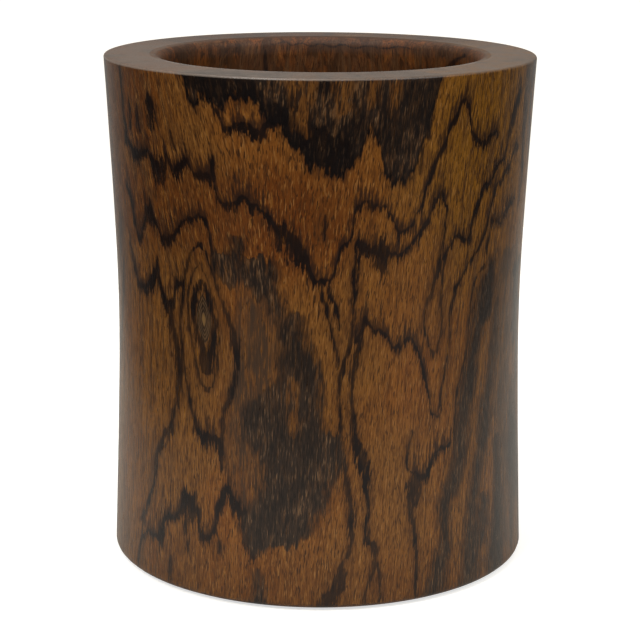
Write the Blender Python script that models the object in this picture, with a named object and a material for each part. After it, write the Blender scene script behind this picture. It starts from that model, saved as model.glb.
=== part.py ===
"""Brush pot: a thick-walled, gently waisted cup turned from one log section and bored right
through, with a separate base board let in from below and a small plug in the board's centre.

Row frame: metres, +Z up, origin at the centre of the foot, on the surface that the pot stands on.
Each piece is a solid of revolution: a closed outline of (radius, height) points in millimetres,
running down its outer side, turned about Z by a Screw modifier.
"""

import math

import bpy

MM = 0.001

# The cup's outside.
HEIGHT = 150.0
RIM_RADIUS = 63.3  # outer edge of the mouth
WAIST_RADIUS = 60.2  # narrowest point
WAIST_HEIGHT = 74.0
FOOT_RADIUS = 62.4  # where the side would meet the ground
FLARE_STRAIGHTNESS = 3.0  # 0 would be a parabola; more is straighter towards the ends
FOOT_ROUND_IN = 6.4  # the foot's rounding, measured inwards
FOOT_ROUND_UP = 2.4  # and upwards

# The cup's mouth and bore.
BORE_RADIUS = 46.5
RIM_EDGE_ROUND = 0.6  # outer arris of the flat rim
LIP_ROUND = 2.8  # inner arris, where the brushes lean

# The base: the bore is widened from below, and its shoulder stops the board.
SHOULDER_HEIGHT = 12.0
RABBET_RADIUS = 51.5
FOOT_RECESS = 2.0  # underside of the board above the standing surface
PLUG_RADIUS_TOP = 6.5
PLUG_RADIUS_UNDER = 7.0  # the plug is tapered and driven in from below
GLUE_GAP = 0.3  # between neighbouring pieces
EASED_EDGE = 0.5  # width of a small chamfer

TURN_STEPS = 80
SIDE_POINTS = 18
ROUND_POINTS = 6
EDGE_POINTS = 3


def clear_scene():
    for obj in list(bpy.data.objects):
        bpy.data.objects.remove(obj, do_unlink=True)


def side_radius(height):
    """Radius of the outside: least at the waist, widening along a hyperbola to each end."""
    if height > WAIST_HEIGHT:
        share = (height - WAIST_HEIGHT) / (HEIGHT - WAIST_HEIGHT)
        widest = RIM_RADIUS
    else:
        share = (WAIST_HEIGHT - height) / WAIST_HEIGHT
        widest = FOOT_RADIUS
    rise = math.hypot(1, FLARE_STRAIGHTNESS * share) - 1
    full_rise = math.hypot(1, FLARE_STRAIGHTNESS) - 1
    return WAIST_RADIUS + (widest - WAIST_RADIUS) * rise / full_rise


def rounding(centre, reach, start_deg, points):
    """Clockwise quarter of an ellipse, from start_deg to 90 degrees less."""
    angles = [math.radians(start_deg - 90 * step / points) for step in range(points + 1)]
    return [
        (centre[0] + reach[0] * math.cos(angle), centre[1] + reach[1] * math.sin(angle))
        for angle in angles
    ]


def turned(name, outline, material):
    """Turn an outline about Z. One whose ends lie on the axis is left open there."""
    meets_axis = outline[0][0] == 0
    last = len(outline) - 1
    edges = [(i, i + 1) for i in range(last)]
    if not meets_axis:
        edges.append((last, 0))
    mesh = bpy.data.meshes.new(name)
    mesh.from_pydata([(radius * MM, 0.0, height * MM) for radius, height in outline], edges, [])
    mesh.materials.append(material)
    obj = bpy.data.objects.new(name, mesh)
    bpy.context.scene.collection.objects.link(obj)
    screw = obj.modifiers.new("turning", "SCREW")
    screw.axis = "Z"
    screw.steps = TURN_STEPS
    screw.render_steps = TURN_STEPS
    screw.use_smooth_shade = True
    screw.use_merge_vertices = meets_axis
    screw.merge_threshold = 1e-5
    return obj


def wood(name, colour, roughness):
    material = bpy.data.materials.new(name)
    material.use_nodes = True
    shader = material.node_tree.nodes["Principled BSDF"]
    shader.inputs["Base Color"].default_value = (*colour, 1.0)
    shader.inputs["Roughness"].default_value = roughness
    shader.inputs["Metallic"].default_value = 0.0
    return material


def make_body(material):
    """The cup's wall with its flat rim and its foot ring, all one piece of the log."""
    rim_edge = rounding(
        (RIM_RADIUS - RIM_EDGE_ROUND, HEIGHT - RIM_EDGE_ROUND),
        (RIM_EDGE_ROUND, RIM_EDGE_ROUND),
        90,
        EDGE_POINTS,
    )
    top = HEIGHT - RIM_EDGE_ROUND
    step = (top - FOOT_ROUND_UP) / SIDE_POINTS
    heights = [top - step * i for i in range(1, SIDE_POINTS)]
    side = [(side_radius(height), height) for height in heights]
    foot = rounding(
        (side_radius(FOOT_ROUND_UP) - FOOT_ROUND_IN, FOOT_ROUND_UP),
        (FOOT_ROUND_IN, FOOT_ROUND_UP),
        0,
        ROUND_POINTS,
    )
    rabbet = [
        (RABBET_RADIUS + EASED_EDGE, 0.0),
        (RABBET_RADIUS, EASED_EDGE),
        (RABBET_RADIUS, SHOULDER_HEIGHT),
        (BORE_RADIUS, SHOULDER_HEIGHT),
    ]
    lip = rounding(
        (BORE_RADIUS + LIP_ROUND, HEIGHT - LIP_ROUND), (LIP_ROUND, LIP_ROUND), 180, ROUND_POINTS
    )
    return turned("pot_body", rim_edge + side + foot + rabbet + lip, material)


def make_base_board(material):
    """Floor of the pot: a disc that fills the rabbet and bears up against its shoulder."""
    radius = RABBET_RADIUS - GLUE_GAP
    top = SHOULDER_HEIGHT - GLUE_GAP
    outline = [
        (PLUG_RADIUS_TOP, top),
        (radius, top),
        (radius, FOOT_RECESS + EASED_EDGE),
        (radius - EASED_EDGE, FOOT_RECESS),
        (PLUG_RADIUS_UNDER, FOOT_RECESS),
    ]
    return turned("base_board", outline, material)


def make_base_plug(material):
    """Tapered plug that closes the hole where the board's pith was bored out."""
    top = SHOULDER_HEIGHT - GLUE_GAP
    outline = [
        (0.0, top),
        (PLUG_RADIUS_TOP - GLUE_GAP, top),
        (PLUG_RADIUS_UNDER - GLUE_GAP, FOOT_RECESS),
        (0.0, FOOT_RECESS),
    ]
    return turned("base_plug", outline, material)


clear_scene()
make_body(wood("figured_rosewood", (0.125, 0.052, 0.018), 0.32))
make_base_board(wood("base_rosewood", (0.105, 0.045, 0.017), 0.45))
make_base_plug(wood("plug_rosewood", (0.075, 0.034, 0.014), 0.45))
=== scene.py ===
"""Looks of the brush pot: a turned cup of boldly figured rosewood, its base board and its plug.

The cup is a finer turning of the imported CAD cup, read from its own section. The board and the plug
keep their CAD meshes and get better wood. The cup's wood is a solid texture built from nodes: dark
veins and patches laid out round the cup in degrees and millimetres, feathered along the fibres, with
pores, streaks and a waxed sheen. Angles count from the side that faces the camera (-Y) and grow to
the right; heights count from the foot.
"""

import math
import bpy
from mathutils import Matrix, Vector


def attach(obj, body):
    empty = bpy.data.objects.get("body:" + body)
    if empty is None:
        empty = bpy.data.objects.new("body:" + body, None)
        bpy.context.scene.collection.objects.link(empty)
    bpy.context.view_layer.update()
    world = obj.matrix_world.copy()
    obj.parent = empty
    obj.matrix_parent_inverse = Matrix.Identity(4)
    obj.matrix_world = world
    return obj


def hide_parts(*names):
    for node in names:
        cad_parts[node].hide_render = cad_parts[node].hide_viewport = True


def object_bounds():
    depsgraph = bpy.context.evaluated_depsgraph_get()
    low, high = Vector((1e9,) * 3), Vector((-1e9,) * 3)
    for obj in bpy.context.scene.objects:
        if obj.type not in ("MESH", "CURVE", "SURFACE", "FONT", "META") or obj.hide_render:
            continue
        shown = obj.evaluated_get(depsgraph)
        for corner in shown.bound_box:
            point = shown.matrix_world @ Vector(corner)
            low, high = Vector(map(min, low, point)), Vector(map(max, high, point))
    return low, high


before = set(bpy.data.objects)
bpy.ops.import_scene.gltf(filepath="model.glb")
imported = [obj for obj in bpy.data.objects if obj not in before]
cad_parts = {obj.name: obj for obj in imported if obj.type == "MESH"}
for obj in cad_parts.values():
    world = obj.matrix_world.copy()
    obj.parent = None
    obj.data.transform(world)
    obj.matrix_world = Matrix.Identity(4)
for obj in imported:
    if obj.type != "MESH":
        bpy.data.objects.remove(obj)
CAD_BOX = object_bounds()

from types import SimpleNamespace

import bpy
import numpy as np
from mathutils import Vector, noise

MM = 0.001
HEIGHT = CAD_BOX[1].z

# The camera. Its distances are shares of the pot's height.
CAMERA_DISTANCE = 3.869
CAMERA_ABOVE_RIM = 0.4135
CAMERA_SIDE = -0.0027
CAMERA_PITCH_DEG = 13.82
CAMERA_ROLL_DEG = -0.3
LENS_MM = 110.9
SENSOR_MM = 36.0

# ---------------------------------------------------------------------------------------------
# The figure of the wood. Each vein is (position, centre, half width): those that run across the
# fibres go by angle and give heights, and those that run up the cup go by height and give angles.
# ---------------------------------------------------------------------------------------------

CROWN_LINE = [
    (-61.5, 128, 1.5), (-56, 125, 2.3), (-53, 125.5, 2.0), (-50.5, 126.5, 1.0), (-48.5, 123, 3.0),
    (-44.5, 122, 4.0), (-43.3, 125, 2.0), (-41.5, 123.5, 1.2), (-39, 122.5, 2.6), (-35.5, 125, 1.5),
    (-34, 123, 0.9), (-31, 122, 1.0), (-29, 121, 1.2), (-26, 115.5, 0.8), (-24, 114.3, 0.8),
    (-20, 116.5, 1.2), (-17, 115, 1.2), (-15, 114.2, 0.8), (-13, 111.5, 2.2), (-10, 107.5, 3.6),
    (-7, 104.5, 4.5), (-5, 102.5, 3.5), (-3, 99.5, 2.6), (0, 94.8, 1.0), (2, 94.8, 0.6),
    (3.5, 96, 0.8), (4.6, 101, 1.6), (6.5, 105.8, 0.6), (7.8, 108, 1.0), (8.6, 112.5, 1.8),
    (9.6, 115.5, 1.0), (11.5, 116.3, 0.9), (16, 114.5, 0.7), (18, 113, 0.7), (21, 107.6, 0.8),
    (23, 108.6, 0.8), (24.8, 110.6, 0.8), (27.5, 118.5, 1.5), (31, 127.5, 1.5), (35, 136.5, 1.5),
    (36.6, 140.5, 1.1), (37.8, 142.2, 0.9), (39.5, 140.8, 0.9), (42.6, 132.3, 1.2),
    (44.5, 130.6, 1.0), (46.8, 129.3, 1.2), (50.5, 132.3, 0.8), (53, 132.2, 0.5),
]
LEFT_SHOULDER = [
    (-63, 115, 0.6), (-61.5, 114, 1.2), (-60, 109, 2.0), (-58.2, 104, 1.8), (-56.6, 101.5, 1.2),
    (-55.3, 102.5, 1.5), (-54, 106, 1.5), (-50.3, 109.8, 3.0), (-49, 107, 1.5), (-47, 104.2, 1.2),
    (-44, 102.5, 1.5), (-41, 105, 1.4), (-37, 109, 0.8), (-32.5, 110.2, 0.9), (-30.7, 109.2, 1.2),
    (-29.6, 106, 2.0), (-28.8, 101.5, 2.0), (-27.5, 99, 1.0),
]
LEFT_HIP = [
    (-63, 98.5, 0.4), (-61.5, 94, 1.0), (-60, 90, 1.2), (-57, 86.5, 1.0), (-54, 87, 1.8),
    (-50, 90.5, 3.0), (-48.6, 93, 4.0), (-47.4, 89, 3.5), (-46, 85, 3.0), (-44.5, 83.5, 2.2),
    (-43, 84.5, 2.6), (-41.5, 88, 2.2), (-39.5, 91, 1.2),
]
FOOT_ZIGZAG = [
    (-58.3, 4, 1.0), (-57, 8.5, 2.2), (-55.3, 12.3, 1.0), (-52.5, 14.2, 0.9), (-49.5, 13.8, 1.0),
    (-47.6, 13.5, 3.5), (-46.3, 16.5, 4.0), (-45, 20.5, 1.5), (-41, 22.8, 1.0), (-40, 24.2, 1.5),
    (-38.6, 27, 4.0), (-35.2, 26.5, 4.0), (-34, 25.3, 2.5), (-33, 21, 2.5), (-31.5, 18.3, 2.0),
    (-29, 20.2, 1.0), (-27, 27, 3.0), (-25.6, 31.5, 3.0), (-24.6, 33, 2.2), (-23, 30.2, 2.2),
    (-20, 25.5, 4.0), (-18.5, 22, 6.0), (-17, 19.5, 5.5), (-15.8, 18, 2.0),
]
INNER_CREST = [
    (9.6, 104, 2.5), (11.5, 103.5, 2.5), (13.5, 102, 2.0), (14.6, 101.5, 4.5), (16, 101, 6.0),
    (17.3, 101.5, 5.0), (18.6, 101.8, 1.6), (20, 101.4, 0.8), (24.5, 104.2, 0.8), (28, 108.8, 1.2),
    (31, 115, 1.6), (32.4, 116.8, 1.2), (33.6, 116, 1.0), (34.4, 113.5, 1.2),
]
W_LINE = [
    (9.8, 78, 1.5), (11.2, 81, 1.8), (12.3, 83.2, 1.6), (13.8, 81, 0.9), (17.8, 79.5, 0.8),
    (20.5, 74.8, 0.9), (22, 75.2, 0.9), (23.5, 77, 1.0), (25.2, 76.8, 1.0), (27.4, 72.2, 1.2),
    (29.8, 65, 1.5), (30.5, 60.5, 2.0), (31, 56, 1.0), (32.2, 54, 0.5), (33.6, 53.9, 0.5),
    (34.5, 56, 1.0),
]
RIGHT_RIDGE = [
    (34.6, 99.5, 1.0), (35.6, 101.3, 0.8), (39, 105, 1.0), (40.3, 103.6, 1.0), (42, 103.4, 0.8),
    (44.6, 110, 2.8), (47.8, 116.8, 1.3), (50, 118.2, 1.0), (51.4, 119.4, 1.4), (52.6, 122.6, 1.0),
    (56.4, 124.8, 0.8), (58.6, 131, 2.2), (61.2, 138.5, 3.0), (64, 142, 0.5),
]
RIGHT_RIDGE_LOW = [
    (39, 90.3, 0.8), (43, 96, 0.9), (47, 100.4, 0.7), (50.2, 106.5, 1.5), (52.3, 115, 1.2),
    (54, 117, 0.7), (59, 120.8, 0.8), (64, 127, 0.6),
]
RIGHT_LEDGE = [
    (51, 100, 1.5), (53, 107.3, 0.9), (54.8, 106.8, 0.6), (57, 106.4, 0.7), (61, 109.2, 0.9),
    (65, 111, 0.6),
]
CAP_UNDERLINE = [
    (-26.5, 139.5, 1.2), (-25, 136.3, 1.2), (-23.3, 135.2, 0.8), (-21, 136.8, 1.2),
    (-17.5, 136, 1.3), (-15.5, 135.3, 1.3), (-13, 137, 1.8), (-11, 138.5, 2.0),
]
KNOT_FOOT = [
    (-35.2, 49, 0.5), (-33.8, 48, 1.8), (-31.5, 47.5, 2.0), (-29.5, 47, 1.6), (-27.5, 46.5, 2.2),
    (-26.4, 44.5, 4.5), (-25.6, 44, 1.0),
]
HOOK = [
    (26.5, 38, 1.5), (29, 36.8, 1.2), (30.5, 37.5, 2.0), (31.6, 40.5, 2.0), (33, 43.5, 1.0),
    (37.8, 45, 0.8),
]
ACROSS_VEINS = [
    CROWN_LINE, LEFT_SHOULDER, LEFT_HIP, FOOT_ZIGZAG, INNER_CREST, W_LINE, RIGHT_RIDGE,
    RIGHT_RIDGE_LOW, RIGHT_LEDGE, CAP_UNDERLINE, KNOT_FOOT, HOOK,
]

LEFT_STEM = [
    (17, -56.5, 0.5), (21, -55, 1.0), (27, -52.2, 0.7), (32, -50.6, 0.6), (38, -49.6, 0.9),
    (43, -47.8, 1.1), (46.8, -45.2, 1.4), (49, -43.6, 1.0), (53, -42.3, 0.7), (58, -40.8, 0.9),
    (64, -40, 1.3), (70, -40.6, 1.2), (76, -42.3, 1.2), (83, -43.4, 0.8),
]
KNOT_LEFT = [
    (49, -34.8, 0.4), (56, -36.3, 0.5), (60, -37.2, 0.5), (65, -38.3, 0.5), (70, -39.2, 0.5),
    (75, -39.6, 0.4), (80, -39.7, 0.4), (85, -39.3, 0.5), (90, -38.5, 0.6), (93.5, -37.9, 0.5),
    (97, -36.9, 0.45), (100, -35.6, 0.4), (102, -34.2, 0.45), (103.2, -33, 0.7),
]
KNOT_RIGHT = [
    (40, -26.2, 0.4), (52, -26.4, 0.6), (56, -25.8, 0.8), (60, -24.2, 1.1), (64, -23, 1.0),
    (68, -22.2, 0.7), (71, -22, 1.0), (74, -22.3, 1.3), (78, -22.9, 1.0), (82, -24, 0.8),
    (86, -25.6, 0.6), (90, -27.3, 0.4), (95, -28.7, 0.35), (98, -29.8, 0.3), (101, -30.8, 0.35),
    (103.2, -32.2, 0.6),
]
LENS_LEFT = [
    (61.5, -31.2, 0.5), (63, -32.6, 0.5), (66, -33.8, 0.4), (70, -34.9, 0.35), (75, -36, 0.35),
    (80, -36.9, 0.35), (86, -37, 0.3), (90, -36.6, 0.3), (93, -35.6, 0.25), (96, -34.3, 0.2),
    (97.8, -33, 0.15),
]
LENS_RIGHT = [
    (61.5, -30.6, 0.5), (63, -29.5, 0.4), (66, -28.5, 0.35), (70, -27.8, 0.3), (76, -27.4, 0.25),
    (82, -27.3, 0.2), (86, -28, 0.15), (90, -29.5, 0.1), (94, -30.8, 0.15), (97.5, -32.2, 0.15),
]
HEART_LEFT = [
    (66.5, -31.4, 0.9), (68, -31.5, 1.5), (71, -31.7, 1.8), (74, -32.5, 1.4), (77, -33.6, 1.0),
    (80, -34.7, 0.75), (83, -35.2, 0.75), (86, -35.1, 1.0), (89, -34.4, 1.2), (91, -33.4, 1.3),
    (92.6, -32.4, 0.8),
]
HEART_RIGHT = [
    (66.5, -30.8, 0.8), (68, -30.7, 1.5), (71, -30.1, 1.8), (74, -29.5, 1.4), (77, -29, 1.0),
    (80, -28.8, 0.8), (83, -28.9, 0.8), (86, -29.4, 1.0), (89, -30.4, 1.2), (91, -31.3, 1.1),
    (92.4, -32, 0.7),
]
CENTRE_STEM = [
    (1, 2, 2.0), (5, 3.8, 2.2), (9, 5.8, 1.6), (13, 6.2, 1.0), (17, 7.8, 0.6), (22, 8.5, 0.8),
    (28, 8.4, 1.0), (33, 7.8, 1.0), (38, 7, 0.8), (44, 6, 0.6), (50, 5.7, 0.6), (58, 5.4, 0.4),
    (64, 5.4, 0.4), (70, 6, 0.5), (75, 7.3, 0.5), (80, 8.5, 0.5), (85, 9.2, 0.5), (90, 9.2, 0.6),
    (95, 9, 0.8), (100, 9.2, 0.5), (106, 9.7, 0.4),
]
SECOND_STEM = [
    (2, 12.6, 0.3), (10, 14.2, 0.5), (15, 14.8, 0.5), (18, 14.8, 1.0), (21, 13, 0.8),
    (25, 12.8, 0.6), (30, 13.1, 0.5), (35, 12.8, 0.7), (40, 12, 1.3), (45, 10.9, 1.6),
    (50, 9.8, 1.2), (56, 9.2, 0.9), (62, 8.6, 0.6), (68, 8.7, 0.9), (73, 9.7, 0.9), (79, 10.3, 0.4),
]
THIRD_STEM = [
    (2, 26, 0.3), (10, 26.9, 0.6), (20, 26.3, 0.7), (24, 25.8, 0.7), (30, 25, 1.2), (33, 26, 1.8),
    (36, 26.6, 2.0), (38.5, 26.6, 1.0), (41, 24.1, 0.3), (46, 24.5, 0.35), (51, 25.7, 0.3),
]
U_LEFT = [
    (71.3, 31.6, 0.35), (75, 30, 0.35), (83, 28.7, 0.3), (86.5, 29.3, 0.3), (90, 30.6, 0.5),
    (98, 32.8, 0.8), (103, 33.7, 0.45), (108, 34.5, 0.35), (113, 34.7, 0.4),
]
U_RIGHT = [
    (71.3, 31.8, 0.35), (74, 33, 0.35), (83, 34.3, 0.35), (93, 34, 0.4), (100.5, 35.2, 0.5),
]
LONG_U_RIGHT = [
    (55, 34.4, 0.25), (60, 35, 0.3), (72, 36.3, 0.3), (84, 37.6, 0.35), (90.5, 39.4, 0.5),
]
RIGHT_THREAD = [
    (48, 39.2, 0.3), (54, 39.7, 0.3), (60, 40.6, 0.4), (66, 42.2, 0.3), (76, 44.1, 0.3),
    (87, 45, 0.4), (90.5, 46, 0.4), (93, 47.3, 0.5), (95, 49.5, 0.8),
]
NECK_THREAD = [(71, 5.3, 0.3), (76, 4.3, 0.4), (82, 2.8, 0.3), (88, 1.5, 0.35), (94, 0.6, 0.4)]
NECK_SPUR = [(82, 5.3, 0.3), (86, 4.6, 0.6), (93, 2.6, 0.6)]
LEFT_BORDER = [(128, -61.3, 0.8), (136, -62.3, 0.6), (151, -62.5, 0.6)]
FOOT_THREAD = [(3, 16.3, 0.4), (9, 16, 0.5), (14, 15.6, 0.3)]
SPINDLES = [
    [(128.5, -40, 0.2), (131.5, -40.2, 0.4), (134.5, -40.4, 0.15)],
    [(129.2, -35.6, 0.2), (131.6, -36, 0.2)],
    [(121, -28, 0.3), (124.5, -28, 0.7), (128.5, -28, 0.3)],
    [(106, 1, 0.2), (110, 1, 0.6), (114, 1, 0.2)],
    [(124, 26.3, 0.4), (128, 26.3, 0.6), (131, 26.4, 0.2)],
    [(15, -26.4, 0.2), (17, -26.6, 0.45), (19.5, -26.8, 0.2)],
    [(13, -37.2, 0.2), (17, -37.3, 0.5), (22, -37.5, 0.5)],
    [(3, -43, 0.7), (7, -43, 0.7), (11, -43, 0.2)],
    [(133, -58, 0.5), (137, -58.2, 0.8), (141, -58, 0.4)],
    [(132, -53.8, 0.4), (136, -54, 0.6), (140, -54, 0.3)],
    [(133.5, -48.5, 0.8), (136, -48, 2.0), (140, -48, 2.0), (142.5, -48.3, 0.6)],
]
UPRIGHT_VEINS = [
    LEFT_STEM, CENTRE_STEM, SECOND_STEM, THIRD_STEM, U_LEFT, U_RIGHT,
    LONG_U_RIGHT, RIGHT_THREAD, NECK_THREAD, NECK_SPUR, LEFT_BORDER, FOOT_THREAD,
] + SPINDLES
# Inside the cup, by place across in mm: the line goes by it, the upright ones are centred on it.
BACK_LIP_LINE = [
    (-15, 147.8, 0), (-11, 148.5, 0.1), (-9, 147.5, 0.15), (-6, 148.1, 0.1), (-3, 147.1, 0.15),
    (0, 147.8, 0.1), (4, 146.9, 0.15), (7, 147.7, 0.1), (11, 146.7, 0.15), (15, 147.5, 0.1),
    (20, 147.0, 0.15), (25, 147.8, 0.1), (29, 147.4, 0),
]
RIGHT_WALL_VEIN = [
    (136, 35, 0.5), (140, 37.5, 0.9), (143, 39.5, 1.0), (146, 41.5, 0.7), (148, 43.5, 0.3),
]
LEFT_WALL_VEIN = [(138, -17, 0.5), (142, -17.3, 0.6), (146, -17.2, 0.2)]
KNOT_VEINS = [KNOT_LEFT, KNOT_RIGHT, LENS_LEFT, LENS_RIGHT, HEART_LEFT, HEART_RIGHT]

# Dark patches. The cap hangs from the rim, and its lower edge is (angle, height).
CAP_TOP = 156
CAP_EDGE = [
    (-38, 150), (-35.5, 146.5), (-33.5, 142.5), (-32, 140), (-30.5, 142.8), (-28.5, 142.6),
    (-26.5, 140.5), (-24.5, 142.3), (-20, 143.6), (-17.5, 143.4), (-15.5, 141), (-14, 139),
    (-11, 136.3), (-9, 135), (-7, 131), (-5, 128), (-3, 126), (0, 125), (3.5, 123.8), (5.5, 125),
    (8, 127), (10.3, 129), (11.2, 133), (13, 134.3), (14.6, 132.5), (15.4, 127), (16.5, 123.5),
    (19, 122.4), (22, 122), (24, 123.2), (25.3, 128), (26.5, 131.6), (27.8, 131.8), (28.8, 136),
    (29.6, 142), (31, 148), (32, 151),
]
# The others are (height, left angle, right angle).
CENTRE_PATCH = [
    (16, -17, -15), (18, -17.5, -12.5), (20, -19, -5.5), (22, -19.5, -3.5), (26, -20, -1.5),
    (29, -18, 0), (32, -15.5, 1.8), (36, -14.5, 3), (39, -14.5, 4.6), (43, -15, 5.8),
    (47, -17.5, 6), (50, -19, 5.6), (51.5, -19.3, 1.5), (54, -19.3, 0.6), (58, -19, 0.5),
    (61, -17, 0.5), (64, -12, 0.3), (68, -9.5, 0.2), (72, -9.5, -1), (76, -9.7, -3),
    (80, -10, -4.4), (84, -10.3, -4.6), (86, -11, -8.8), (89, -13.5, -10), (92, -18, -10.8),
    (95, -21, -11.2), (98, -20.8, -11.8), (100, -19.5, -13),
]
CHEST_PATCH = [
    (93, -26, -22.5), (95, -27, -21), (98, -28, -20.5), (100.5, -28.8, -21), (102, -23.5, -19.8),
    (104, -23, -20), (106.5, -22.3, -21),
]
FOOT_BLOTCH = [(-1, -18.5, -13), (4, -17.2, -14), (8, -16.2, -15), (11, -16, -15.6)]
RIGHT_STEM_PATCH = [
    (1, 29, 35), (5, 30, 35.5), (10, 32, 36.5), (15, 34, 37), (20, 34.6, 36.8), (26, 34.2, 37),
    (30, 34.8, 39.5), (35, 37, 41.5), (40, 38.3, 43), (45, 39.5, 44), (50, 40.5, 44.7),
    (55, 41.5, 45.5), (60, 42, 47.5), (65, 42.8, 48), (70, 44.8, 48), (76, 46.3, 49.5),
    (80, 46.5, 53), (85, 47.4, 55), (90, 48.8, 55.3), (94, 50.7, 55), (97.5, 53, 54.5),
]
RIGHT_FLANK_PATCH = [
    (1, 41.5, 47.5), (5, 42, 48), (10, 42.6, 48.5), (15, 43.4, 48.8), (20, 43.8, 47.5),
    (25, 44.4, 48), (30, 45.6, 49), (35, 46.6, 50), (40, 48.2, 51), (47, 49.2, 54),
    (55, 50.6, 54.5), (60, 53, 55.5), (66, 54.6, 56.6), (75, 55.4, 57.5), (83, 56.5, 58),
]
FAR_RIGHT_PATCH = [
    (1, 54, 61), (6, 53.6, 61), (12, 54.4, 61), (18, 56.5, 62), (25, 57.6, 61), (32, 57.4, 59),
    (42, 57.6, 58.6),
]
RIGHT_SLIT = [(12, 49.6, 50.4), (19, 49.2, 51.8), (23, 49.8, 52.4), (28, 50.6, 52.2)]
UPRIGHT_PATCHES = [
    CENTRE_PATCH, CHEST_PATCH, FOOT_BLOTCH, RIGHT_STEM_PATCH, RIGHT_FLANK_PATCH, FAR_RIGHT_PATCH,
    RIGHT_SLIT,
]
# The part of the cap that is nearly black all through.
INKY = [
    (122, 0, 5), (126, -5.5, 7), (130, -9, 8.5), (134, -12, 7), (138, -16, -1), (141, -22, -8),
    (146, -34, -14), (152, -38, -16),
]
# Smoky wood, half as dark and full of pale streaks.
SMOKE = [
    (28, -23, -14), (35, -25, -14), (45, -25, -14), (55, -24.5, -8), (62, -24, -7), (70, -22.5, -8),
    (80, -22, -9), (88, -21, -10), (93, -22, -11), (97, -26, -12),
]
RIGHT_SMOKE = [
    (8, 62, 66), (20, 58, 66), (40, 56, 67), (55, 57, 68), (75, 56, 68), (88, 57, 68), (97, 59, 68),
]
# Pale islands inside the cap and the centre patch.
ISLANDS = [
    [(134, -4.3, -3.7), (136, -5.2, -2.8), (140, -6.5, -2.3), (145, -7.5, -1.5), (152, -8, -1)],
    [(142, 11.8, 12.6), (146, 11.2, 13.8), (152, 11.5, 14.5)],
    [(139.5, 17.4, 18), (142, 16.8, 18.8), (146, 16.2, 19.8), (152, 16.5, 20.5)],
    [(141, 5, 7), (146, 3.5, 7.5), (152, 3, 8)],
    [(52, -7, -5.5), (56, -9, -5), (60, -9.5, -5.2), (66, -9, -6)],
]

# The knot's heart: where it lies, how its long axis leans, and how tall it is for its width.
KNOT_ANGLE = -31.9
KNOT_HEIGHT = 82
KNOT_LEAN = -0.04  # degrees for each millimetre up
KNOT_TALLNESS = 3.0
# Its fine rings: (distance from the heart in mm, half width).
KNOT_RINGS = [(0.85, 0.12), (1.3, 0.12), (1.75, 0.10), (2.2, 0.12)]
KNOT_SHARPNESS = 3.0  # how much crisper their edges are than those of the other veins


# ---------------------------------------------------------------------------------------------
# Nodes
# ---------------------------------------------------------------------------------------------

class Graph:
    """Adds nodes to a node tree. Apart from add and feed, each method returns an output socket."""

    def __init__(self, tree):
        self.tree = tree

    def add(self, kind, *values, **settings):
        """A node with its inputs set in order. A value is a socket, a number, a tuple or None."""
        node = self.tree.nodes.new(kind)
        for key, value in settings.items():
            setattr(node, key, value)
        for socket, value in zip(node.inputs, values):
            self.feed(socket, value)
        return node

    def feed(self, socket, value):
        if isinstance(value, bpy.types.NodeSocket):
            self.tree.links.new(value, socket)
        elif value is not None:
            socket.default_value = value

    def math(self, operation, *values):
        return self.add("ShaderNodeMath", *values, operation=operation).outputs[0]

    def multiply_add(self, value, factor, offset):
        return self.math("MULTIPLY_ADD", value, factor, offset)

    def size_of(self, value):
        return self.math("ABSOLUTE", value)

    def plus(self, a, b):
        return self.math("ADD", a, b)

    def minus(self, a, b):
        return self.math("SUBTRACT", a, b)

    def times(self, first, *others):
        for other in others:
            first = self.math("MULTIPLY", first, other)
        return first

    def rest_of(self, share):
        """What is left of 1 when a share is taken."""
        return self.minus(1.0, share)

    def largest(self, values):
        """The largest of many values, compared in pairs, as a knock-out draw does."""
        values = list(values)
        while len(values) > 1:
            pairs = [values[i : i + 2] for i in range(0, len(values), 2)]
            values = [self.math("MAXIMUM", *pair) if len(pair) == 2 else pair[0] for pair in pairs]
        return values[0]

    def vector(self, operation, *values):
        return self.add("ShaderNodeVectorMath", *values, operation=operation).outputs[0]

    def combine(self, x, y, z):
        return self.add("ShaderNodeCombineXYZ", x, y, z).outputs[0]

    def noise(self, place, scale, detail=2.0, roughness=0.5, distortion=0.0):
        node = self.add("ShaderNodeTexNoise", place)
        settings = {
            "Scale": scale, "Detail": detail, "Roughness": roughness, "Distortion": distortion
        }
        for name, value in settings.items():
            node.inputs[name].default_value = value
        return node.outputs[0]

    def remap(self, value, low, high, to_low=0.0, to_high=1.0, smooth=True):
        """Carries low to high on to to_low to to_high, and holds still beyond them."""
        kind = "SMOOTHSTEP" if smooth else "LINEAR"
        node = self.add(
            "ShaderNodeMapRange", value, low, high, to_low, to_high, interpolation_type=kind
        )
        return node.outputs[0]

    def mix(self, share, a, b):
        """Colour a where the share is 0, and b where it is 1."""
        node = self.add("ShaderNodeMix", data_type="RGBA", blend_type="MIX")
        self.feed(node.inputs[0], share)
        for socket, colour in ((node.inputs[6], a), (node.inputs[7], b)):
            self.feed(socket, (*colour, 1.0) if isinstance(colour, tuple) else colour)
        return node.outputs[2]

    def curve(self, share, values):
        """A curve through the given (share, value) points, both from 0 to 1."""
        node = self.add("ShaderNodeFloatCurve")
        self.tree.links.new(share, node.inputs["Value"])
        mapping = node.mapping
        mapping.extend = "HORIZONTAL"
        points = mapping.curves[0].points
        while len(points) < len(values):
            points.new(0.5, 0.5)
        for point, (x, y) in zip(points, values):
            point.location = (x, y)
            point.handle_type = "AUTO_CLAMPED"
        mapping.update()
        return node.outputs[0]


def unit_curve(graph, share, places, values):
    """A curve through places (from 0 to 1) with values in their own unit."""
    low, high = min(values), max(values)
    room = max(high - low, 1e-3)
    drawn = graph.curve(share, [(p, (v - low) / room) for p, v in zip(places, values)])
    return graph.math("MULTIPLY_ADD", drawn, room, low)


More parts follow.
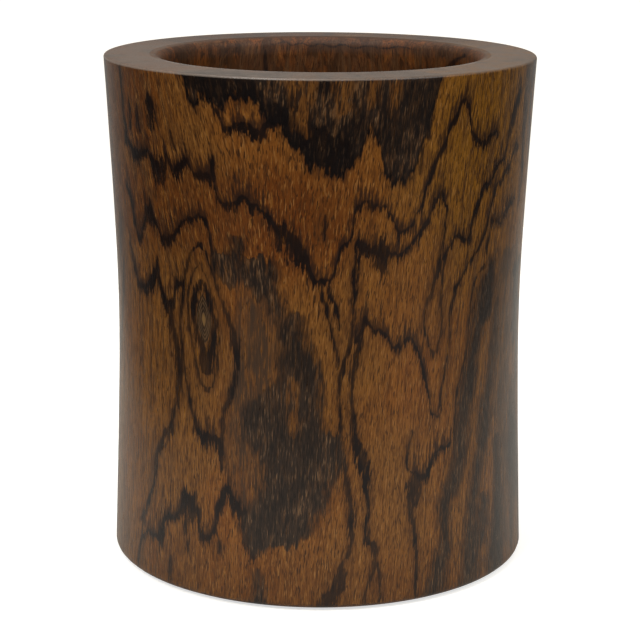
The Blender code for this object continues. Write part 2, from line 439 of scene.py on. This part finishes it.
ENDING = 1.2  # how far past its last point a vein dies away
ENDED = -4.0  # its half width there
PLUME_FADING = 0.27  # how much a fringe thins for each millimetre up
PLUME_SHARP_SIDE = -1.5  # and how fast it ends below its vein
PLUME_WIDEST = 1.2


def vein(graph, along, across, points, ragged=None):
    """How far inside a vein a place is: its half width minus the distance to its middle line.

    ragged multiplies the half width, so that wide stretches get rougher edges than thin ones.
    """
    half, offset = vein_offset(graph, along, across, points)
    if ragged is not None:
        half = graph.times(half, ragged)
    return graph.minus(half, graph.size_of(offset))


def vein_offset(graph, along, across, points):
    """A vein's half width at a place, and how far to its upper or right side the place lies."""
    places = [p[0] for p in points]
    places = [places[0] - ENDING, *places, places[-1] + ENDING]
    middles = [points[0][1], *[p[1] for p in points], points[-1][1]]
    halves = [ENDED, *[p[2] for p in points], ENDED]
    first, length = places[0], places[-1] - places[0]
    share = graph.remap(along, first, places[-1], smooth=False)
    shares = [(p - first) / length for p in places]
    middle = unit_curve(graph, share, shares, middles)
    return unit_curve(graph, share, shares, halves), graph.minus(across, middle)


def plume(graph, along, across, points):
    """Depth inside the fringe of dark fibres that stands on top of a vein."""
    half, offset = vein_offset(graph, along, across, points)
    above = graph.times(offset, PLUME_FADING)
    below = graph.times(offset, PLUME_SHARP_SIDE)
    half = graph.math("MINIMUM", half, PLUME_WIDEST)
    return graph.minus(half, graph.math("MAXIMUM", above, below))


def band(points):
    """Turns (position, low edge, high edge) into the form that vein() takes."""
    return [(p, (low + high) / 2, (high - low) / 2) for p, low, high in points]


def place_nodes(graph):
    """The object place in millimetres, and the angle in degrees, height and radius there."""
    coordinates = graph.add("ShaderNodeTexCoord").outputs["Object"]
    place = graph.vector("SCALE", coordinates)
    place.node.inputs["Scale"].default_value = 1 / MM
    split = graph.add("ShaderNodeSeparateXYZ", place).outputs
    radians = graph.math("ARCTAN2", split[0], graph.times(split[1], -1.0))
    angle = graph.times(radians, 180 / math.pi)
    squares = [graph.times(axis, axis) for axis in split[:2]]
    radius = graph.math("SQRT", graph.plus(*squares))
    return place, angle, split[2], radius


def stretched(graph, place, stretch):
    """The same place squeezed along Z, so that a texture's grains are that much longer upright."""
    return graph.vector("MULTIPLY", place, (1.0, 1.0, 1 / stretch))


LEAN_RIGHT = 0.08  # degrees for each millimetre up
LEAN_HIGH_LEFT = -9.0  # degrees at the rim


def leaning(graph, place, angle, height):
    """The place turned about the axis so that fibres, upright in it, lean as they do in the cup."""
    upper = graph.remap(height, 95.0, 150.0, smooth=False)
    high_left = graph.times(graph.remap(angle, -10.0, -40.0), upper)
    right = graph.times(graph.remap(angle, -25.0, 15.0), graph.times(height, LEAN_RIGHT))
    shift = graph.multiply_add(high_left, LEAN_HIGH_LEFT, right)
    turn = graph.add("ShaderNodeVectorRotate", rotation_type="Z_AXIS")
    graph.feed(turn.inputs["Vector"], place)
    graph.feed(turn.inputs["Angle"], graph.times(shift, -math.pi / 180))
    return turn.outputs[0]


INWARD_FROM = 60.0  # nearer the axis than this, a place takes its figure from lower down
INWARD_DROP = -0.9  # millimetres for each millimetre inwards


def figure(graph, grain, place, angle, height, radius):
    """Depths inside the laid-out kinds of wood, and the noises that fray them.

    Depths are in millimetres, or in degrees across what goes up the cup, which is nearly the same.
    """
    fibre = graph.minus(graph.noise(stretched(graph, grain, 9.0), 2.2, 2.0, 0.6), 0.5)
    tuft = graph.minus(graph.noise(stretched(graph, grain, 4.5), 0.6, 1.5, 0.6), 0.5)
    wander = graph.minus(graph.noise(stretched(graph, place, 2.0), 0.17, 1.0), 0.5)
    inward = graph.math("MAXIMUM", graph.minus(INWARD_FROM, radius), 0.0)
    level = graph.multiply_add(inward, INWARD_DROP, height)
    fine_level = graph.multiply_add(tuft, 4.5, graph.multiply_add(fibre, 4.0, level))
    rough_level = graph.multiply_add(tuft, 8.0, level)
    knot_level = graph.multiply_add(tuft, 1.2, level)
    fine_angle = graph.multiply_add(wander, 2.4, angle)
    rough_angle = graph.multiply_add(graph.plus(wander, tuft), 3.0, angle)
    ragged = graph.multiply_add(fibre, 3.0, 1.0)

    def patches(outlines):
        veins = [vein(graph, rough_level, rough_angle, band(points)) for points in outlines]
        return graph.largest(veins)

    veins = [vein(graph, fine_angle, fine_level, points, ragged) for points in ACROSS_VEINS]
    veins += [vein(graph, fine_level, fine_angle, points, ragged) for points in UPRIGHT_VEINS]
    veins += [vein(graph, knot_level, angle, points, ragged) for points in KNOT_VEINS]
    rings, ring = knot(graph, angle, knot_level)
    hanging = band([(p, edge, CAP_TOP) for p, edge in CAP_EDGE])
    return SimpleNamespace(
        lines=graph.largest([*veins, rings, inside_veins(graph, place, height, radius)]),
        plumes=graph.largest(plume(graph, fine_angle, fine_level, points) for points in ACROSS_VEINS),
        cap=vein(graph, fine_angle, rough_level, hanging),
        patches=patches(UPRIGHT_PATCHES),
        inky=patches([INKY]),
        smoke=patches([SMOKE, RIGHT_SMOKE]),
        pale=patches(ISLANDS),
        ring=ring,
        fibre=fibre,
        tuft=tuft,
    )


AWAY = -8.0  # takes a thin vein out of sight
FAR_AWAY = -12.0  # takes a wide patch out of sight


def inside_veins(graph, place, height, radius):
    """Depth inside the inner wall's thin veins, which go by place across instead of by angle."""
    split = graph.add("ShaderNodeSeparateXYZ", place).outputs
    outside = graph.times(graph.remap(radius, 50.0, 52.0), AWAY)
    front = graph.times(graph.remap(split[1], 0.0, -5.0), AWAY)
    veins = [
        vein(graph, split[0], height, BACK_LIP_LINE),
        vein(graph, height, split[0], RIGHT_WALL_VEIN),
        vein(graph, height, split[0], LEFT_WALL_VEIN),
    ]
    return graph.plus(graph.plus(graph.largest(veins), outside), front)


def knot(graph, angle, level):
    """Depth inside the fine rings at the knot's heart, and the place's own ring, in millimetres."""
    up = graph.minus(level, KNOT_HEIGHT)
    axis = graph.multiply_add(up, KNOT_LEAN, KNOT_ANGLE)
    side = graph.size_of(graph.minus(angle, axis))
    tall = graph.math("DIVIDE", up, KNOT_TALLNESS)
    # A family of lenses: side = reach - tall squared / reach.
    inner = graph.plus(graph.times(side, side), graph.times(graph.times(tall, tall), 4.0))
    reach = graph.times(graph.plus(side, graph.math("SQRT", inner)), 0.5)
    rings = graph.largest(
        graph.minus(half, graph.size_of(graph.minus(reach, middle)))
        for middle, half in KNOT_RINGS
    )
    return graph.times(rings, KNOT_SHARPNESS), reach


WILD_STRETCH = 2.4
WILD_LIFT = 8.0  # millimetres that a full tuft moves the figure up
WILD_LEVELS = 9.0  # lines across the slow noise's range
WILD_LINE_SPREAD = 13.0  # millimetres counted from one line to the next
WILD_PATCH_LEVEL = 0.6  # noise value at a patch's edge
WILD_PATCH_SLOPE = 45.0  # millimetres inside the patch for each unit above that


def wild_figure(graph, place, fibre, tuft):
    """Depth inside lines and patches of the same kind, from noise, where nothing is laid out."""
    lift = graph.combine(0.0, 0.0, graph.times(tuft, WILD_LIFT))
    moved = stretched(graph, graph.vector("ADD", place, lift), WILD_STRETCH)
    # Lines follow the levels of a slow noise, as contours do on a map.
    field = graph.noise(moved, 0.022, 1.6, 0.45, 0.6)
    level = graph.math("FRACT", graph.times(field, WILD_LEVELS))
    off_line = graph.times(graph.size_of(graph.minus(level, 0.5)), WILD_LINE_SPREAD)
    thickness = graph.multiply_add(graph.noise(moved, 0.06, 1.0), 5.0, -1.7)
    ragged = graph.multiply_add(fibre, 4.5, 1.0)
    lines = graph.minus(graph.times(thickness, ragged), off_line)
    above = graph.minus(graph.noise(moved, 0.03, 2.0, 0.55, 0.4), WILD_PATCH_LEVEL)
    patches = graph.times(above, WILD_PATCH_SLOPE)
    return lines, patches


# ---------------------------------------------------------------------------------------------
# The cup's wood. Colours are linear RGB.
# ---------------------------------------------------------------------------------------------

FLOW_COLOURS = (0.128, 0.040, 0.0062), (0.172, 0.061, 0.0105)
CLOUDED = (0.150, 0.060, 0.0125)
YELLOWED = (0.168, 0.070, 0.0055)
REDDENED = (0.080, 0.019, 0.0030)
# Painted shade towards the foot.
FOOT_PAINTED_SHADE = (0.085, 0.029, 0.0055)
INSIDE_COLOURS = (0.140, 0.043, 0.0095), (0.075, 0.033, 0.015)
# Painted shade, deeper down the bore.
INSIDE_PAINTED_SHADE = (0.036, 0.0115, 0.0040)
INSIDE_DARK_SWIRL = (0.019, 0.0085, 0.0042)
INSIDE_PALE_SWIRL = (0.170, 0.066, 0.016)
SIDE_STRIPE = (0.058, 0.028, 0.0125)
DARK_STREAK = (0.045, 0.016, 0.0042)
PALE_STREAK = (0.250, 0.112, 0.027)
DARK_HAIR = (0.036, 0.0125, 0.0036)
PALE_HAIR = (0.300, 0.145, 0.042)
PORE = (0.020, 0.008, 0.0035)
INK_COLOURS = (0.0034, 0.0022, 0.0022), (0.030, 0.0172, 0.0105)
INK_CALM = (0.026, 0.0165, 0.0110)
INK_THREAD = (0.105, 0.048, 0.018)
INK_TICK = (0.130, 0.072, 0.034)
INK_HAIR = (0.0060, 0.0038, 0.0032)
HALO = (0.045, 0.017, 0.0055)
SMOKE_COLOUR = (0.036, 0.0205, 0.0120)
HEARTWOOD = (0.075, 0.047, 0.024)
HEART_SPOT = (0.180, 0.100, 0.030)
FRINGE = (0.017, 0.0075, 0.0045)
LINE = (0.0060, 0.0032, 0.0027)
# Painted reflection on the rim's flat, in front and behind.
RIM_FLAT_PAINTED_REFLECTION = (0.090, 0.063, 0.045), (0.042, 0.022, 0.013)  # in front and behind
# Painted highlight along the rim's outer arris.
ARRIS_PAINTED_HIGHLIGHT = (0.200, 0.160, 0.130)

WAX_GLOSS = 1.35  # index of refraction
ROUGHNESS = 0.22
ROUGHER_STREAKS = 0.16
ROUGHER_FLAT = 0.13
SMOOTHER_LIP = -0.18
RELIEF_STRENGTH = 0.35
RELIEF_DEPTH = 0.00008  # metres


def grain_noises(graph, grain, place):
    """Fibres at each size. All but cloud, blotch, swirl and mottle run along the grain."""
    return SimpleNamespace(
        streak=graph.noise(stretched(graph, grain, 12.0), 1.9, 2.0, 0.65),
        hair=graph.noise(stretched(graph, grain, 14.0), 4.0, 1.0, 0.6),
        flow=graph.noise(stretched(graph, grain, 9.0), 0.3, 2.0, 0.6),
        pore=graph.noise(stretched(graph, grain, 9.0), 3.4, 1.0, 0.5),
        stripe=graph.noise(stretched(graph, grain, 16.0), 0.75, 1.0, 0.5),
        tangle=graph.noise(stretched(graph, grain, 3.0), 0.22, 2.0, 0.6),
        drift=graph.noise(stretched(graph, grain, 7.0), 0.35, 1.0, 0.5),
        cloud=graph.noise(stretched(graph, place, 1.6), 0.035, 2.0, 0.5),
        blotch=graph.noise(stretched(graph, place, 1.4), 0.12, 3.0, 0.65),
        swirl=graph.noise(stretched(graph, place, 2.2), 0.20, 3.0, 0.62, 1.2),
        mottle=graph.noise(stretched(graph, place, 1.2), 0.16, 3.0, 0.65),
    )


def outer_ground(graph, noises, angle, height):
    """Brown of the outside: yellower high right, redder high left and in a belt; painted shade at the
    foot.
    """
    ground = graph.mix(graph.remap(noises.flow, 0.3, 0.7), *FLOW_COLOURS)
    ground = graph.mix(graph.remap(noises.cloud, 0.35, 0.65), ground, CLOUDED)
    yellow = graph.times(graph.remap(angle, 5.0, 45.0), graph.remap(height, 70.0, 130.0))
    ground = graph.mix(graph.times(yellow, 0.85), ground, YELLOWED)
    belt = graph.remap(graph.size_of(graph.minus(height, 112.0)), 20.0, 5.0)
    belt = graph.times(belt, graph.remap(angle, 22.0, -5.0))
    corner = graph.times(graph.remap(height, 110.0, 135.0), graph.remap(angle, -32.0, -55.0))
    red = graph.math("MAXIMUM", belt, corner)
    ground = graph.mix(graph.times(red, 0.7), ground, REDDENED)
    # Painted shade: the wall darkens towards the foot.
    return graph.mix(graph.remap(height, 24.0, 3.0, 0.0, 0.6), ground, FOOT_PAINTED_SHADE)


def inner_ground(graph, noises, height):
    """Mottled brown of the bore, with painted shade darker further down."""
    ground = graph.mix(graph.remap(noises.blotch, 0.40, 0.62), *INSIDE_COLOURS)
    # Painted shade: the bore darkens from the rim downwards.
    ground = graph.mix(graph.remap(height, 149.0, 139.0, 0.1, 0.65), ground, INSIDE_PAINTED_SHADE)
    dark_swirl = graph.remap(noises.swirl, 0.50, 0.60, 0.0, 0.8)
    ground = graph.mix(dark_swirl, ground, INSIDE_DARK_SWIRL)
    return graph.mix(graph.remap(noises.swirl, 0.44, 0.34, 0.0, 0.5), ground, INSIDE_PALE_SWIRL)


def with_fibres(graph, ground, noises, angle, lined):
    """The ground with its stripes, streaks, hairs and pores."""
    # Towards both sides the wood is cut along its growth rings: stronger, straighter stripes.
    aside = graph.remap(graph.size_of(angle), 26.0, 50.0)
    stronger = graph.multiply_add(aside, 0.5, 1.0)
    stripes = graph.times(graph.remap(noises.stripe, 0.50, 0.62, 0.0, 0.65), aside)
    ground = graph.mix(stripes, ground, SIDE_STRIPE)
    dark_streak = graph.times(graph.remap(noises.streak, 0.50, 0.64, 0.0, 0.62), stronger)
    ground = graph.mix(dark_streak, ground, DARK_STREAK)
    # Pale fibres hardly show inside the bore.
    open_air = graph.multiply_add(lined, -0.85, 1.0)
    pale_streak = graph.remap(noises.streak, 0.44, 0.30, 0.0, 0.42)
    ground = graph.mix(graph.times(pale_streak, open_air, stronger), ground, PALE_STREAK)
    ground = graph.mix(graph.remap(noises.hair, 0.54, 0.68, 0.0, 0.55), ground, DARK_HAIR)
    pale_hair = graph.times(graph.remap(noises.hair, 0.41, 0.27, 0.0, 0.55), open_air)
    ground = graph.mix(pale_hair, ground, PALE_HAIR)
    return graph.mix(graph.remap(noises.pore, 0.57, 0.67, 0.0, 0.8), ground, PORE)


def ink_wood(graph, wood, noises, threads, tangle, height):
    """Dark wood: nearly black along its edges, threaded with brown inside, calmer low down."""
    inside = graph.remap(wood.cap, 0.5, 5.0)
    inside = graph.math("MAXIMUM", inside, graph.remap(wood.patches, -1.5, 1.5))
    lifted = graph.times(inside, graph.multiply_add(tangle, 0.75, 0.2))
    lifted = graph.times(lifted, graph.remap(wood.inky, -2.0, 2.0, 1.0, 0.12))
    calm = graph.remap(height, 100.0, 60.0)
    ink = graph.mix(graph.times(lifted, 0.7), *INK_COLOURS)
    ink = graph.mix(graph.times(calm, 0.5), ink, INK_CALM)
    bright = graph.multiply_add(calm, -0.55, 1.0)
    ink = graph.mix(graph.times(threads, lifted, bright), ink, INK_THREAD)
    ticks = graph.remap(noises.hair, 0.40, 0.28)
    ticks = graph.times(ticks, graph.multiply_add(lifted, 0.9, 0.15))
    ink = graph.mix(ticks, ink, INK_TICK)
    return graph.mix(graph.remap(noises.hair, 0.50, 0.62, 0.0, 0.7), ink, INK_HAIR)


def with_smoke_and_knot(graph, colour, wood, noises, threads):
    """A faint halo round everything dark, the smoky wood, and the knot's heart."""
    dark = graph.largest([wood.lines, wood.cap, wood.patches])
    colour = graph.mix(graph.remap(dark, -2.6, 0.1, 0.0, 0.4), colour, HALO)
    smoky = graph.remap(wood.smoke, -2.5, 2.5, 0.0, 0.9)
    smoky = graph.times(smoky, graph.rest_of(graph.times(threads, 0.5)))
    smoky = graph.times(smoky, graph.remap(noises.drift, 0.38, 0.60, 0.55, 1.0))
    colour = graph.mix(smoky, colour, SMOKE_COLOUR)
    colour = graph.mix(graph.remap(wood.ring, 2.6, 2.2, 0.0, 0.7), colour, HEARTWOOD)
    return graph.mix(graph.remap(wood.ring, 0.75, 0.3, 0.0, 0.6), colour, HEART_SPOT)


def with_figure(graph, colour, ink, wood, noises, tangle):
    """The colour with the fringes, lines and dark patches over it."""
    fringe = graph.multiply_add(noises.streak, 4.0, wood.plumes)
    fringe = graph.multiply_add(wood.fibre, 6.0, fringe)
    colour = graph.mix(graph.remap(fringe, 1.3, 2.8, 0.0, 0.85), colour, FRINGE)
    line_cover = graph.remap(graph.multiply_add(wood.fibre, 1.5, wood.lines), -0.4, 0.35)
    line_cover = graph.times(line_cover, graph.remap(noises.streak, 0.25, 0.45, 0.6, 1.0))
    line_cover = graph.times(line_cover, graph.remap(tangle, 0.0, 1.0, 1.0, 0.8))
    colour = graph.mix(line_cover, colour, LINE)
    island = graph.remap(wood.pale, -1.5, 1.5)
    island = graph.times(island, graph.remap(noises.streak, 0.60, 0.46, 0.15, 0.9))
    cap_cover = graph.remap(graph.multiply_add(wood.fibre, 10.0, wood.cap), -1.0, 1.0)
    patch_cover = graph.remap(graph.multiply_add(wood.fibre, 8.0, wood.patches), -2.4, 1.6)
    cover = graph.times(graph.math("MAXIMUM", cap_cover, patch_cover), graph.rest_of(island))
    return graph.mix(cover, colour, ink)


def with_rim(graph, colour, noises, angle, height, radius, flat):
    """The rim's flat gets a painted reflection, greyer than the wall and paler in front; its outer
    arris a painted highlight, most of all on the left.
    """
    # Painted reflection on the rim's flat, paler in front than behind and broken by the mottle.
    behind = graph.remap(graph.size_of(angle), 100.0, 150.0)
    painted_rim_reflection = graph.mix(behind, *RIM_FLAT_PAINTED_REFLECTION)
    painted_reflection_share = graph.times(flat, graph.remap(noises.mottle, 0.36, 0.64, 0.9, 0.5))
    colour = graph.mix(painted_reflection_share, colour, painted_rim_reflection)
    # Painted highlight along the outer arris, strongest at the front left.
    arris = graph.times(graph.remap(height, 149.25, 149.5), graph.remap(height, 149.98, 149.8))
    arris = graph.times(arris, graph.remap(radius, 62.0, 62.5))
    arris = graph.times(arris, graph.remap(angle, 30.0, -5.0, 0.1, 0.6))
    return graph.mix(arris, colour, ARRIS_PAINTED_HIGHLIGHT)


def waxed_roughness(graph, noises, angle, height, radius, flat):
    """Rougher along the streaks and on the rim's flat, and uneven round the inner lip."""
    rough = graph.multiply_add(noises.streak, ROUGHER_STREAKS, ROUGHNESS)
    rough = graph.multiply_add(flat, ROUGHER_FLAT, rough)
    lip = graph.times(graph.remap(radius, 50.2, 49.6), graph.remap(height, 144.0, 147.0))
    # The lip is glossier than the wall in front, and rougher at its sides and behind.
    lip = graph.times(lip, graph.remap(graph.size_of(angle), 80.0, 55.0, -1.8, 1.0))
    return graph.multiply_add(lip, SMOOTHER_LIP, rough)


def add_relief(graph, shader, height, strength, depth):
    bump = graph.add("ShaderNodeBump")
    bump.inputs["Strength"].default_value = strength
    bump.inputs["Distance"].default_value = depth
    graph.feed(bump.inputs["Height"], height)
    graph.feed(shader.inputs["Normal"], bump.outputs[0])


def figured_wood():
    """The cup's wood: laid-out figure in front, noise-made figure behind, and a brown bore."""
    material = bpy.data.materials.new("figured_wood")
    material.use_nodes = True
    tree = material.node_tree
    shader = tree.nodes["Principled BSDF"]
    graph = Graph(tree)
    place, angle, height, radius = place_nodes(graph)
    grain = leaning(graph, place, angle, height)
    wood = figure(graph, grain, place, angle, height, radius)
    noises = grain_noises(graph, grain, place)

    # Past this angle, and outside the bore, the figure is made from noise. Patches stop at the bore.
    around = graph.remap(graph.size_of(angle), 60.0, 70.0)
    lined = graph.remap(radius, 50.0, 48.0)
    elsewhere = graph.times(around, graph.rest_of(lined))
    hidden = graph.times(graph.rest_of(elsewhere), FAR_AWAY)
    wood.patches = graph.multiply_add(lined, FAR_AWAY, wood.patches)
    wood.cap = graph.multiply_add(lined, FAR_AWAY, wood.cap)
    wild_lines, wild_patches = wild_figure(graph, place, wood.fibre, wood.tuft)
    wood.lines = graph.math("MAXIMUM", wood.lines, graph.plus(wild_lines, hidden))
    wood.patches = graph.math("MAXIMUM", wood.patches, graph.plus(wild_patches, hidden))

    ground = outer_ground(graph, noises, angle, height)
    ground = graph.mix(lined, ground, inner_ground(graph, noises, height))
    ground = with_fibres(graph, ground, noises, angle, lined)
    threads = graph.remap(noises.streak, 0.53, 0.38)
    tangle = graph.remap(noises.tangle, 0.38, 0.62)
    flat = graph.remap(height, 149.5, 149.95)
    ink = ink_wood(graph, wood, noises, threads, tangle, height)
    colour = with_smoke_and_knot(graph, ground, wood, noises, threads)
    colour = with_figure(graph, colour, ink, wood, noises, tangle)
    colour = with_rim(graph, colour, noises, angle, height, radius, flat)
    graph.feed(shader.inputs["Base Color"], colour)
    rough = waxed_roughness(graph, noises, angle, height, radius, flat)
    graph.feed(shader.inputs["Roughness"], rough)
    pits = graph.remap(noises.pore, 0.58, 0.72, 0.0, -1.0)
    relief = graph.plus(graph.times(noises.streak, -0.6), pits)
    add_relief(graph, shader, relief, RELIEF_STRENGTH, RELIEF_DEPTH)
    shader.inputs["Metallic"].default_value = 0.0
    shader.inputs["IOR"].default_value = WAX_GLOSS
    return material


BASE_PALE = (0.115, 0.05, 0.016)
BASE_DARK = (0.05, 0.022, 0.009)
BASE_STREAK = (0.018, 0.008, 0.004)
BASE_ROUGHNESS = 0.35
BASE_GRAIN_STRETCH = 18


def plain_wood(name, grain_axis):
    """Quieter wood for the base pieces, with its grain along one axis."""
    material = bpy.data.materials.new(name)
    material.use_nodes = True
    tree = material.node_tree
    shader = tree.nodes["Principled BSDF"]
    graph = Graph(tree)
    place = place_nodes(graph)[0]
    squeeze = [1.0, 1.0, 1.0]
    squeeze[grain_axis] = 1 / BASE_GRAIN_STRETCH
    along = graph.vector("MULTIPLY", place, tuple(squeeze))
    growth = graph.noise(along, 0.16, 3.0, 0.55, 0.8)
    streak = graph.noise(along, 1.5, 2.0, 0.6)
    colour = graph.mix(graph.remap(growth, 0.35, 0.62), BASE_PALE, BASE_DARK)
    colour = graph.mix(graph.remap(streak, 0.5, 0.7, 0.0, 0.6), colour, BASE_STREAK)
    graph.feed(shader.inputs["Base Color"], colour)
    graph.feed(shader.inputs["Roughness"], graph.multiply_add(streak, 0.2, BASE_ROUGHNESS))
    add_relief(graph, shader, streak, 0.4, 0.0001)
    return material


# ---------------------------------------------------------------------------------------------
# Pieces
# ---------------------------------------------------------------------------------------------

BODY_COLUMNS = 320
BODY_ROW = 0.0012  # longest step of the outline, in metres
SCRAPED_DEPTH = 0.00006  # metres
ON_PLANE = 1e-6  # metres
SHARP_DEG = 40


def section(node):
    """The CAD piece's closed outline in the XZ plane, as (radius, height), in clockwise order."""
    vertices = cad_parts[node].data.vertices
    cut = {
        (round(v.co.x, 6), round(v.co.z, 6))
        for v in vertices
        if abs(v.co.y) < ON_PLANE and v.co.x > -ON_PLANE
    }
    points = np.array(sorted(cut))
    centre = (points.min(0) + points.max(0)) / 2
    turn = np.arctan2(points[:, 0] - centre[0], points[:, 1] - centre[1])
    return points[np.argsort(turn)]


def refined(outline, longest):
    """The closed outline with its long runs divided."""
    fine = []
    for start, end in zip(outline, np.roll(outline, -1, axis=0)):
        steps = max(1, math.ceil(np.linalg.norm(end - start) / longest))
        fine += [start + (end - start) * i / steps for i in range(steps)]
    return fine


def turned(name, node, columns, longest, relief):
    """A fine turning of a CAD node's own outline. relief gives inward wear at a place."""
    outline = refined(section(node), longest)
    vertices = []
    for radius, height in outline:
        for column in range(columns):
            turn = 2 * math.pi * column / columns
            direction = Vector((math.cos(turn), math.sin(turn), 0))
            worn = radius - relief(direction * radius + Vector((0, 0, height)))
            vertices.append(direction * worn + Vector((0, 0, height)))
    rows = len(outline)
    faces = []
    for row in range(rows):
        below = (row + 1) % rows
        for column in range(columns):
            right = (column + 1) % columns
            faces.append(
                (
                    row * columns + column,
                    below * columns + column,
                    below * columns + right,
                    row * columns + right,
                )
            )
    mesh = bpy.data.meshes.new(name)
    mesh.from_pydata(vertices, [], faces)
    mesh.shade_smooth()
    mesh.set_sharp_from_angle(angle=math.radians(SHARP_DEG))
    obj = bpy.data.objects.new(name, mesh)
    bpy.context.scene.collection.objects.link(obj)
    return obj


def hand_scraped(place):
    """Shallow unevenness left by the turner's scraper, always inward, in metres."""
    broad = noise.noise(Vector((place.x * 40, place.y * 40, place.z * 70)))
    return SCRAPED_DEPTH * (1 + broad) / 2


def place_piece(obj, node, material):
    """Gives a piece its material and lets it stand for a CAD node on the one body."""
    obj.data.materials.append(material)
    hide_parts(node)
    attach(obj, "root")


body = turned("figured_body", "pot_body", BODY_COLUMNS, BODY_ROW, hand_scraped)
place_piece(body, "pot_body", figured_wood())
for node, axis in (("base_board", 0), ("base_plug", 2)):
    wood = plain_wood(node + "_wood", axis)
    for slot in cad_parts[node].material_slots:
        slot.material = wood


# ---------------------------------------------------------------------------------------------
# Studio
# ---------------------------------------------------------------------------------------------

def area_light(name, place, target, size, power):
    """A round soft lamp that faces its target."""
    lamp = bpy.data.lights.new(name, "AREA")
    lamp.shape = "DISK"
    lamp.size = size
    lamp.energy = power
    obj = bpy.data.objects.new(name, lamp)
    obj.location = place
    obj.rotation_euler = (Vector(target) - Vector(place)).to_track_quat("-Z", "Y").to_euler()
    bpy.context.scene.collection.objects.link(obj)


PAPER = (0.56, 0.54, 0.49, 1)
PAPER_OVEREXPOSURE = 0.65
SURROUND = (1.0, 0.965, 0.9, 1)
SURROUND_SEEN = 1.15  # how bright it is to the camera
POT_MIDDLE = (0, 0, 0.08)
LAMPS = [  # name, place, target, size in metres, watts
    ("key", (-0.6, -0.85, 1.05), POT_MIDDLE, 0.6, 16),
    ("fill", (0.85, -0.6, 0.8), POT_MIDDLE, 0.9, 9),
    ("overhead", (0.0, -0.1, 1.3), (0, 0, 0), 1.4, 6),
    ("back", (-0.3, 0.8, 1.4), POT_MIDDLE, 0.7, 3),
]


def floor_sheet():
    """A sheet of pale paper under the pot, longer behind it than in front."""
    mesh = bpy.data.meshes.new("floor")
    corners = [(-0.21, -0.24, 0), (0.3, -0.24, 0), (0.3, 0.5, 0), (-0.21, 0.5, 0)]
    mesh.from_pydata(corners, [], [(0, 1, 2, 3)])
    obj = bpy.data.objects.new("floor", mesh)
    bpy.context.scene.collection.objects.link(obj)
    material = bpy.data.materials.new("paper")
    material.use_nodes = True
    graph = Graph(material.node_tree)
    shader = material.node_tree.nodes["Principled BSDF"]
    shader.inputs["Base Color"].default_value = PAPER
    shader.inputs["Roughness"].default_value = 0.9
    shader.inputs["Specular IOR Level"].default_value = 0.1
    # Overexposed for the camera, so that it runs into the white behind it without an edge.
    shader.inputs["Emission Color"].default_value = (1, 1, 1, 1)
    seen = graph.add("ShaderNodeLightPath").outputs["Is Camera Ray"]
    graph.feed(shader.inputs["Emission Strength"], graph.times(seen, PAPER_OVEREXPOSURE))
    mesh.materials.append(material)


def studio_world():
    """White all round to the camera; to light and reflections, dim except behind and above."""
    world = bpy.data.worlds.new("studio")
    world.use_nodes = True
    tree = world.node_tree
    graph = Graph(tree)
    background = tree.nodes["Background"]
    direction = graph.add("ShaderNodeTexCoord").outputs["Generated"]
    split = graph.add("ShaderNodeSeparateXYZ", direction).outputs
    # 0 straight ahead of the pot and to its sides, 1 straight behind it.
    behind = graph.remap(split[1], 0.1, 1.0, smooth=False)
    glow = graph.multiply_add(graph.times(behind, behind), 0.5, 0.02)
    above = graph.remap(split[2], 0.35, 0.8)
    glow = graph.math("MAXIMUM", glow, graph.times(above, 0.4))
    seen = graph.add("ShaderNodeLightPath").outputs["Is Camera Ray"]
    strength = graph.math("MAXIMUM", glow, graph.times(seen, SURROUND_SEEN))
    graph.feed(background.inputs["Strength"], strength)
    background.inputs["Color"].default_value = SURROUND
    bpy.context.scene.world = world


floor_sheet()
studio_world()
for lamp in LAMPS:
    area_light(*lamp)

camera_data = bpy.data.cameras.new("camera")
camera_data.sensor_width = SENSOR_MM
camera_data.lens = LENS_MM
camera = bpy.data.objects.new("camera", camera_data)
camera.location = (CAMERA_SIDE * HEIGHT, -CAMERA_DISTANCE * HEIGHT, (1 + CAMERA_ABOVE_RIM) * HEIGHT)
camera.rotation_mode = "XYZ"
camera.rotation_euler = (math.radians(90 - CAMERA_PITCH_DEG), math.radians(CAMERA_ROLL_DEG), 0.0)
bpy.context.scene.collection.objects.link(camera)
bpy.context.scene.camera = camera
bpy.context.scene.view_settings.view_transform = "Standard"
